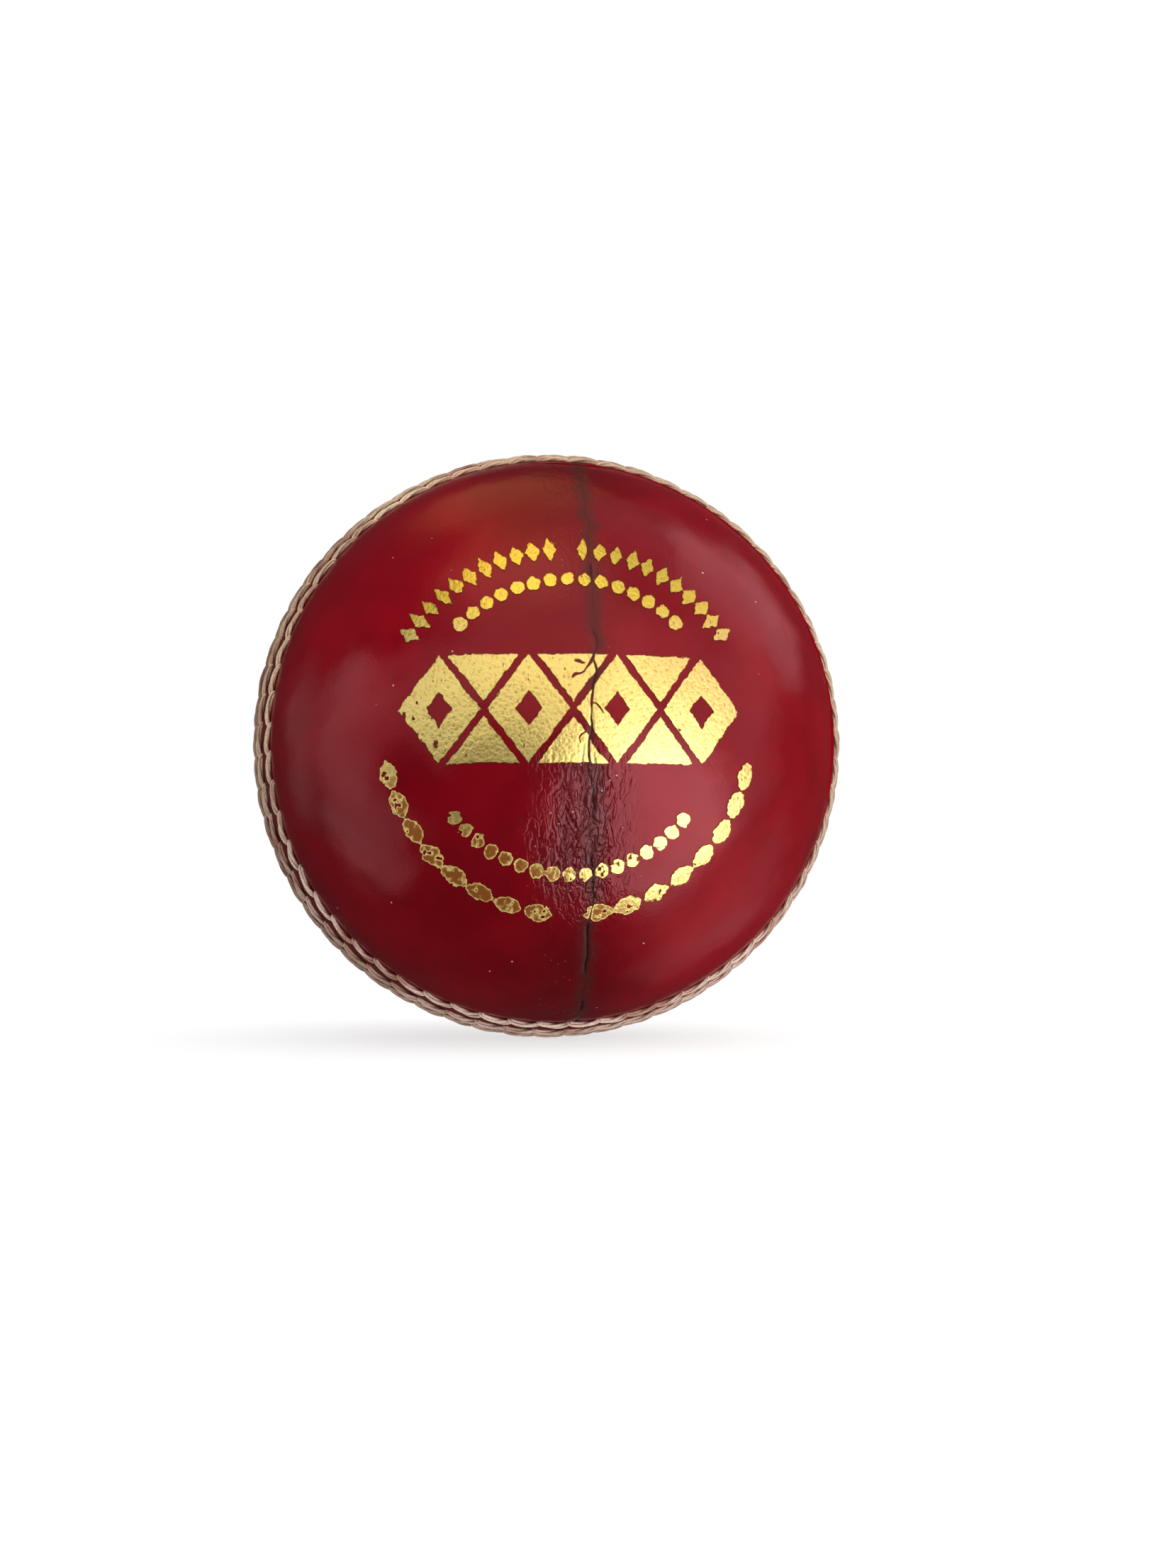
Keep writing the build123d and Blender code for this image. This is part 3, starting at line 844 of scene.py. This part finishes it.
class Material(Nodes):
    """Principled material with its patterns placed and sized in millimetres."""

    def __init__(self, name):
        self.material = bpy.data.materials.new(name)
        self.material.use_nodes = True
        super().__init__(self.material.node_tree)
        self.shader = self.tree.nodes["Principled BSDF"]
        place = self.node("TexCoord").outputs["Object"]
        self.position = self.vector("SCALE", place, scale=1 / MM)

    def attribute(self, name, output="Fac"):
        return self.node("Attribute", attribute_name=name).outputs[output]

    def noise(self, size, detail=3.0, roughness=0.5, stretch=(1, 1, 1), distortion=0.0):
        """Noise from 0 to 1 with features of a size, stretched by axis."""
        place = self.vector("MULTIPLY", self.position, [1 / s for s in stretch])
        shape = {"Detail": detail, "Roughness": roughness, "Distortion": distortion}
        return self.node("TexNoise", {"Vector": place, "Scale": 1 / size, **shape}).outputs["Fac"]

    def scattered(self, size):
        """Cells of a size, each with its own middle and colour."""
        return self.node("TexVoronoi", {"Vector": self.position, "Scale": 1 / size}).outputs

    def cells(self, size):
        """Distance from the middle of the nearest cell."""
        return self.scattered(size)["Distance"]

    def specks(self, size, radius, share):
        """1 on small dots, at most one in each cell of a size and only in a share of the cells."""
        cells = self.scattered(size)
        channels = self.node("SeparateColor", {"Color": cells["Color"]}).outputs
        chosen = self.math("LESS_THAN", channels["Red"], share)
        dot = self.fade(cells["Distance"], 1.4 * radius / size, 0.7 * radius / size)
        return self.times(dot, chosen)

    def valleys(self, size, stretch, width):
        """0 along winding lines and 1 between them, like the plumpness of puckered leather."""
        centred = self.minus(self.noise(size, 1.0, 0.4, stretch, 1.0), 0.5)
        return self.fade(self.math("ABSOLUTE", centred), 0.0, width)

    def edge_on(self):
        """0 where the surface faces the viewer and 1 where it is seen edge on."""
        return self.node("LayerWeight", {"Blend": 0.5}).outputs["Facing"]

    def bump(self, height, depth, strength=1.0):
        """Bump of a depth in millimetres for a height from 0 to 1."""
        node = self.node("Bump", {"Strength": strength, "Distance": depth * MM, "Height": height})
        self.feed(self.shader.inputs["Normal"], node.outputs["Normal"])

    def finish(self, **values):
        """Feeds the shader by name and gives back the material."""
        for key, value in values.items():
            self.feed(self.shader.inputs[key.replace("_", " ")], value)
        return self.material


# ------ leather

DEEP_RED = (0.155, 0.0006, 0.0046)
BRIGHT_RED = (0.190, 0.0012, 0.0056)
DARK_RED = (0.075, 0.0040, 0.0055)
PLUM = (0.060, 0.0080, 0.0095)
STAIN = (0.064, 0.0090, 0.0072)
CRACK = (0.008, 0.004, 0.004)
# Soiled leather between the rows, darkened further as painted shade
GRIME_AND_SHADE = (0.100, 0.0150, 0.0110)
# Pale specks: dust, and painted glints on the puckered leather
DUST_AND_GLINTS = (0.60, 0.45, 0.42)
SHEEN_TINT = (1.0, 0.40, 0.43)
WET_SHEEN = (1.0, 0.68, 0.74)  # on puckered leather
# Distances from the seam plane or from the quarter seam between which each look sets in
DARK_NEAR_ROWS = (17.5, 12.5)
DULL_NEAR_ROWS = (11.2, 9.6)
SOILED_AND_SHADED_NEAR_ROWS = (10.3, 8.8)
STAIN_REACH = (2.5, 0.7)
CRACK_REACH = (0.24, 0.10)
POLISH = 0.55
POLISH_FACING = (0.88, 0.62)  # the polish doesn't show where the leather is seen edge on
LEATHER_BUMP = 0.19


def dyed_leather(n, offset):
    """Dye in soft patches with painted light and shade in broad patches, darker towards the rows, and
    soiled and painted shade between them.
    """
    colour = n.mix(n.fade(n.noise(9.0, 4), 0.35, 0.65), DEEP_RED, BRIGHT_RED)
    # Random dye tone plus painted light and shade in broad patches
    colour = n.vector("SCALE", colour, scale=n.plus(1.0, n.attribute("tone")))
    edge = n.fade(n.plus(offset, n.times(n.noise(5.0, 3), 4.0)), *DARK_NEAR_ROWS)
    colour = n.mix(n.times(edge, 0.3), colour, DARK_RED)
    # Soiled and painted shade between the rows, in patches
    soiled = n.fade(n.plus(offset, n.times(n.noise(1.5, 3), 1.5)), *SOILED_AND_SHADED_NEAR_ROWS)
    patchy = n.plus(0.3, n.times(n.fade(n.noise(2.2, 4), 0.35, 0.6), 0.6))
    return n.mix(n.times(soiled, patchy), colour, GRIME_AND_SHADE)


def quarter_seam_marks(n, colour, parted):
    """Colour with the stain and the open crack along the quarter seam, and how stained it is."""
    distance = n.math("ABSOLUTE", n.attribute("seam_distance"))
    ragged = n.plus(distance, n.times(n.noise(1.5, 4, stretch=(1, 1, 2)), 1.6))
    stain = n.times(n.fade(ragged, *STAIN_REACH), 0.85)
    colour = n.mix(stain, colour, STAIN)
    line = n.plus(distance, n.times(n.noise(1.2, 4, 0.6), 0.14))
    line = n.minus(line, n.times(parted, 0.05))
    crack = n.times(n.fade(line, *CRACK_REACH), n.plus(0.05, parted, clamp=True))
    return n.mix(crack, colour, CRACK), stain


def puckering(n, pucker):
    """1 in the fine valleys of puckered leather and 0 elsewhere."""
    fine = n.valleys(0.75, (1, 1, 2.8), 0.12)
    coarse = n.valleys(1.4, (1, 1, 3.0), 0.11)
    plump = n.plus(n.times(fine, 0.35), n.times(coarse, 0.65))
    return n.times(n.minus(1.0, plump), pucker, clamp=True)


def cover_leather():
    """Dyed and polished leather, stained along the quarter seam and dull beside the stitches."""
    n = Material("cover_leather")
    n.position = n.attribute("cup_place", "Vector")
    offset = n.attribute("rows_distance")
    pucker = n.attribute("pucker")
    colour = dyed_leather(n, offset)
    colour = n.mix(n.times(pucker, 0.38, clamp=True), colour, PLUM)
    colour, stain = quarter_seam_marks(n, colour, n.attribute("parted"))
    valley = puckering(n, pucker)
    # Painted shade in the valleys of the puckers
    colour = n.mix(n.times(valley, 0.6), colour, DARK_RED)
    # Pale specks: dust all over, and painted glints on the puckers
    near_specks = n.times(n.specks(0.8, 0.10, 0.16), pucker)
    dust_and_glints = n.plus(n.specks(2.2, 0.10, 0.30), near_specks, clamp=True)
    colour = n.mix(dust_and_glints, colour, DUST_AND_GLINTS)
    grain = n.plus(n.times(n.cells(0.4), 0.5), n.times(n.noise(0.2, 2), 0.5))
    n.bump(n.plus(n.times(grain, 0.06), n.times(valley, -1.0)), LEATHER_BUMP)
    near_rows = n.fade(offset, *DULL_NEAR_ROWS)
    rough = n.plus(0.07, n.times(n.noise(2.6, 5, 0.6), 0.12))
    for look, share in ((stain, 0.12), (n.attribute("haze"), 0.08), (near_rows, 0.25), (pucker, 0.04)):
        rough = n.plus(rough, n.times(look, share))
    gloss = n.minus(POLISH, n.times(near_rows, 0.35))
    gloss = n.times(gloss, n.fade(n.edge_on(), *POLISH_FACING))
    sheen = n.mix(n.times(pucker, 0.7, clamp=True), SHEEN_TINT, WET_SHEEN)
    return n.finish(
        Base_Color=colour, Roughness=rough, Specular_IOR_Level=gloss, Specular_Tint=sheen
    )


# ------ thread

# Tan is the thread under painted warm light, on the upper threads
THREAD_WARM_LIT_TAN = (1.0, 0.75, 0.50)
THREAD_PINK = (1.0, 0.75, 0.62)
THREAD_DULL = (0.46, 0.27, 0.16)
THREAD_DYED = (0.50, 0.25, 0.17)
# Painted shade on the threads on the right side of the ball
THREAD_SHADED_SIDE = (0.26, 0.145, 0.085)
# Dirt and painted shade: where threads dive into their holes and on the inner rows
THREAD_DIRT_AND_SHADE = (0.20, 0.075, 0.045)
THREAD_SHADE = (0.18, 0.080, 0.050)
# Heights between which the thread turns from tan above, painted warm light, to pink below
WARM_LIGHT_HEIGHTS = (8.0, -22.0)
SHADED_SIDE = (0.88, 0, 0.47)  # direction from the centre towards the threads painted darker, painted shade on the brightly filled right side
SHADED_SIDE_REACH = (2.0, 26.0)
SHADED_DEPTHS = (0.42, 0.95)  # below the tops of the threads, where the thread turns darker: painted shade where it dives into its holes
PLY_GAPS = (0.30, 0.12)  # distance from a stitch's middle line, where its plies shade each other


def seam_thread():
    """Waxed linen, stained by the leather's dye, with painted warm light on the upper threads, painted
    shade on the right side of the ball, between the plies and where it dives into its holes, and dirt
    and painted shade on the inner rows.
    """
    n = Material("seam_thread")
    fibre = n.noise(0.16, 4, 0.65)
    # Painted warm light: tan on the upper threads, pink lower down
    low = n.fade(n.vector("DOT_PRODUCT", n.position, (0, 0, 1)), *WARM_LIGHT_HEIGHTS)
    colour = n.mix(low, THREAD_WARM_LIT_TAN, THREAD_PINK)
    colour = n.mix(n.times(n.attribute("shade"), 0.25), colour, THREAD_DULL)
    colour = n.mix(n.fade(n.noise(6.0, 3), 0.45, 0.68), colour, THREAD_DYED)
    # Painted shade: threads on the right side painted darker
    right_side_shade = n.fade(n.vector("DOT_PRODUCT", n.position, SHADED_SIDE), *SHADED_SIDE_REACH)
    colour = n.mix(n.times(right_side_shade, 0.5), colour, THREAD_SHADED_SIDE)
    # Painted shade where the thread dives into its holes, and dirt and painted shade on the inner rows
    dirt_and_shade = n.fade(n.plus(n.attribute("depth"), n.times(n.noise(0.8, 2), 0.35)), *SHADED_DEPTHS)
    dirt_and_shade = n.math("MAXIMUM", dirt_and_shade, n.times(n.attribute("soiled"), 0.75))
    colour = n.mix(dirt_and_shade, colour, THREAD_DIRT_AND_SHADE)
    between = n.fade(n.attribute("spread"), *PLY_GAPS)
    colour = n.mix(n.times(between, 0.8), colour, THREAD_SHADE)
    colour = n.mix(n.times(n.fade(fibre, 0.62, 0.36), 0.45), colour, THREAD_SHADE)
    n.bump(fibre, 0.05, 0.7)
    return n.finish(Base_Color=colour, Roughness=0.45, Specular_IOR_Level=0.6)


# ------ foil

GOLD = (1.0, 0.79, 0.26)
# Deeper, warmer gold on the upper marks: painted warm light
WARM_LIT_GOLD = (1.0, 0.77, 0.12)
DULL_GOLD = (0.62, 0.34, 0.06)
# Painted dark reflection low on the left of the stamp
DARK_REFLECTION_BRONZE = (0.36, 0.11, 0.015)
# Painted shade along the foil's edges
FOIL_EDGE_SHADE = (0.10, 0.03, 0.01)
WARM_LIT_GOLD_HEIGHTS = (10.0, 15.0)
DARK_REFLECTION_HEIGHTS = (-9.0, -15.0)
DARK_REFLECTION_INSET = (0.18, 0.42)
EDGE_SHADE_WIDTHS = (0.09, 0.02)


def gold_foil():
    """Thin gold foil pressed over the leather's grain, a deeper gold above the band for painted warm
    light, with a painted dark bronze reflection low on the left.
    """
    n = Material("gold_foil")
    height = n.plus(n.noise(0.5, 4, 0.7), n.times(n.cells(0.45), 0.4))
    edge = n.attribute("edge")
    axes = n.node("SeparateXYZ", {"Vector": n.position}).outputs
    # Painted warm light: a deeper gold on the marks above the band
    warm_lit_upper = n.fade(axes["Z"], *WARM_LIT_GOLD_HEIGHTS)
    colour = n.mix(warm_lit_upper, GOLD, WARM_LIT_GOLD)
    fleck = n.times(n.fade(height, 0.68, 0.46), n.minus(0.65, n.times(warm_lit_upper, 0.15)))
    colour = n.mix(fleck, colour, DULL_GOLD)
    # Painted dark reflection: bronze and less metallic low on the left, inside the marks' edges
    low = n.plus(axes["Z"], n.times(axes["X"], RUBBED_AND_DARK_REFLECTING_SLOPE))
    low = n.fade(n.plus(low, n.times(n.noise(4.0, 3), 8.0)), *DARK_REFLECTION_HEIGHTS)
    ragged = n.plus(edge, n.times(n.noise(0.4, 3, 0.7), 0.35))
    colour = n.mix(n.times(low, n.fade(ragged, *DARK_REFLECTION_INSET)), colour, DARK_REFLECTION_BRONZE)
    # Painted shade along the foil's edges, fainter where the dark reflection is painted
    rim = n.times(n.fade(edge, *EDGE_SHADE_WIDTHS), n.minus(0.85, low, clamp=True))
    colour = n.mix(rim, colour, FOIL_EDGE_SHADE)
    n.bump(height, 0.09, 0.8)
    return n.finish(Base_Color=colour, Metallic=n.minus(1.0, n.times(low, 0.55)), Roughness=0.34)


# ------ hidden materials


def cork():
    n = Material("cork")
    colour = n.mix(n.fade(n.noise(1.1, 4), 0.35, 0.65), (0.42, 0.22, 0.10), (0.60, 0.37, 0.19))
    pores = n.fade(n.noise(0.7, 2, stretch=(1, 2, 1)), 0.66, 0.72)
    n.bump(n.cells(1.3), 0.25, 0.6)
    return n.finish(Base_Color=n.mix(pores, colour, (0.10, 0.05, 0.02)), Roughness=0.85)


def wool_yarn():
    n = Material("wool_yarn")
    strands = n.noise(0.5, 3, 0.55, stretch=(1, 6, 1), distortion=1.5)
    colour = n.mix(n.fade(strands, 0.35, 0.65), (0.36, 0.29, 0.20), (0.72, 0.63, 0.50))
    n.bump(strands, 0.3, 0.8)
    return n.finish(Base_Color=colour, Roughness=0.9)


def lining_leather():
    n = Material("lining_leather")
    colour = n.mix(n.noise(2.0, 4), (0.32, 0.17, 0.08), (0.50, 0.30, 0.16))
    n.bump(n.noise(0.25, 3), 0.06, 0.6)
    return n.finish(Base_Color=colour, Roughness=0.8)


def hidden_thread():
    n = Material("hidden_thread")
    fibre = n.noise(0.2, 3)
    n.bump(fibre, 0.05, 0.6)
    return n.finish(Base_Color=n.mix(fibre, (0.50, 0.38, 0.24), (0.74, 0.62, 0.45)), Roughness=0.75)


# ------ stage

CAMERA_DISTANCE = 0.300
CAMERA_AZIMUTH = radians(-4.6)
CAMERA_ELEVATION = radians(-3.2)
LENS = 54.84
AIM = (5.06, -4.80)  # millimetres right of and above the ball's centre

FLOOR_RADIUS = 5
FLOOR_GREY = (0.30, 0.30, 0.30)
FLOOR_GLOW = 0.70
FLOOR_FADE = (0.02, 0.14)  # metres from the ball over which the floor turns plain white

WHITE = (1.0, 1.0, 1.0)
WARM = (1.0, 0.60, 0.22)
ROSE = (1.0, 0.80, 0.82)
CREAM = (1.0, 0.93, 0.80)
# Soft lights round the ball: direction as right, up and towards the camera; where each starts and
# stops fading, in degrees from its middle; strength; colour
SOFT_LIGHTS = (
    ((0.74, 0.58, -0.34), 10, 27, 0.9, ROSE),
    ((0.62, -0.47, 0.62), 24, 38, 2.8, WHITE),
    ((0.00, 0.70, 0.70), 24, 46, 1.0, CREAM),
    ((-0.16, 0.89, -0.43), 5, 22, 0.6, WARM),
    ((-0.12, 0.97, 0.18), 6, 26, 1.0, WARM),
    ((0.45, 0.88, -0.10), 10, 32, 0.3, WHITE),
    ((-0.97, 0.10, 0.12), 8, 24, 0.80, WHITE),
    ((-0.93, 0.00, -0.36), 5, 18, 0.30, WHITE),
    ((-0.92, 0.31, 0.24), 5, 18, 0.35, WHITE),
    ((-0.89, -0.41, 0.12), 6, 23, 0.80, WHITE),
    ((0.69, -0.69, -0.20), 10, 32, 0.3, WHITE),
    ((-0.68, 0.26, 0.68), 8, 26, 0.8, WHITE),
    ((0.86, 0.10, 0.50), 20, 48, 1.0, ROSE),
    ((0.00, 0.10, -1.00), 8, 24, 0.2, WHITE),
)
ROOM_GLOW = 0.04
ROOM_WOBBLE = 0.45  # how far the lights' outlines wander
FILL_GLOW = 1.06
FILL_LEAST = 0.5
FILL_LEAN = (0.95, 0.45, 0.0)  # how much brighter the fill is from the right, above and the front


def camera_axes():
    """Right, up and back of the camera, in the ball's frame."""
    a, e = CAMERA_AZIMUTH, CAMERA_ELEVATION
    back = Vector((sin(a) * cos(e), -cos(a) * cos(e), sin(e)))
    right = Vector((cos(a), sin(a), 0))
    return right, back.cross(right), back


def from_camera(amounts):
    """Vector made of amounts to the camera's right, up and towards it."""
    return sum((axis * amount for axis, amount in zip(camera_axes(), amounts)), Vector())


def camera_setup():
    """Camera a little left of and below the pole axis, aimed so that the ball sits up and left."""
    camera = bpy.data.cameras.new("camera")
    camera.sensor_width = 36
    camera.lens = LENS
    camera.clip_start, camera.clip_end = 0.01, 20
    thing = bpy.data.objects.new("camera", camera)
    thing.location = from_camera((0, 0, CAMERA_DISTANCE))
    aim = from_camera((*AIM, 0)) * MM
    thing.rotation_euler = (aim - thing.location).to_track_quat("-Z", "Y").to_euler()
    bpy.context.scene.collection.objects.link(thing)
    bpy.context.scene.camera = thing


def floor_material():
    """Pale near the ball, plain white further off, and not there for any ray but the camera's."""
    material = bpy.data.materials.new("floor")
    material.use_nodes = True
    n = Nodes(material.node_tree)
    n.tree.nodes.clear()
    pale = n.shading("BsdfDiffuse", Color=FLOOR_GREY)
    pale = n.shading("AddShader", pale, n.shading("Emission", Strength=FLOOR_GLOW))
    away = n.vector("LENGTH", n.node("TexCoord").outputs["Object"])
    seen = n.shading("MixShader", pale, n.shading("Emission"), Fac=n.fade(away, *FLOOR_FADE))
    shown = n.shading("MixShader", n.shading("BsdfTransparent"), seen, Fac=n.ray("Camera"))
    n.shading("OutputMaterial", shown)
    return material


def floor():
    """Pale round floor that catches a faint shadow."""
    mesh = bpy.data.meshes.new("floor")
    sides = 64
    turns = [2 * pi * k / sides for k in range(sides)]
    rim = [(FLOOR_RADIUS * cos(turn), FLOOR_RADIUS * sin(turn), 0) for turn in turns]
    mesh.from_pydata(rim, [], [list(range(sides))])
    mesh.materials.append(floor_material())
    thing = bpy.data.objects.new("floor", mesh)
    thing.location.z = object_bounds()[0].z
    bpy.context.scene.collection.objects.link(thing)
    thing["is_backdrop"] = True


def surroundings():
    """Plain white behind the ball, a room of soft lights in its polish and an even fill on it."""
    world = bpy.data.worlds.new("world")
    world.use_nodes = True
    world.cycles.sampling_method = "NONE"
    n = Nodes(world.node_tree)
    n.tree.nodes.clear()
    straight = n.node("TexCoord").outputs["Generated"]
    wobble = n.node("TexNoise", {"Vector": straight, "Scale": 3.6, "Detail": 3})
    shift = n.vector("SUBTRACT", wobble.outputs["Color"], [0.5] * 3)
    shift = n.vector("SCALE", shift, scale=ROOM_WOBBLE)
    heading = n.vector("NORMALIZE", n.vector("ADD", straight, shift))
    room = [ROOM_GLOW] * 3
    for place, inner, outer, strength, colour in SOFT_LIGHTS:
        nearness = n.vector("DOT_PRODUCT", heading, from_camera(place).normalized())
        lobe = n.fade(nearness, cos(radians(outer)), cos(radians(inner)))
        glow = n.vector("SCALE", [strength * c for c in colour], scale=lobe)
        room = n.vector("ADD", glow, room)
    lean = n.vector("DOT_PRODUCT", straight, from_camera(FILL_LEAN))
    fill = n.math("MAXIMUM", n.plus(lean, FILL_GLOW), FILL_LEAST)
    shown = n.shading("Background", Color=room)
    for kind, colour in (("Diffuse", fill), ("Camera", WHITE)):
        light = n.shading("Background", Color=colour)
        shown = n.shading("MixShader", shown, light, Fac=n.ray(kind))
    n.shading("OutputWorld", shown)
    bpy.context.scene.world = world
    bpy.context.scene.view_settings.view_transform = "Standard"


# ------ the ball


def hidden_looks():
    """Materials for the CAD nodes inside the cover, which keep their CAD shapes."""
    looks = {
        "cork": cork(),
        "wool_yarn": wool_yarn(),
        "lining_leather": lining_leather(),
        "hidden_thread": hidden_thread(),
    }
    for name, thing in frame["nodes"].items():
        if SLOTS[name] in looks:
            thing.data.materials.clear()
            thing.data.materials.append(looks[SLOTS[name]])


def build():
    leather = cover_leather()
    thread = seam_thread()
    leather_quarter("front_left_quarter", FRONT, -1, leather)
    leather_quarter("front_right_quarter", FRONT, 1, leather)
    leather_quarter("back_upper_quarter", BACK, -1, leather)
    leather_quarter("back_lower_quarter", BACK, 1, leather)
    for cup in (FRONT, BACK):
        for row, row_name in enumerate(ROW_NAMES):
            stitch_row(f"{cup.name}_{row_name}_stitches", cup, row, thread)
    foil_stamp(gold_foil())
    hidden_looks()


build()
floor()
surroundings()
camera_setup()
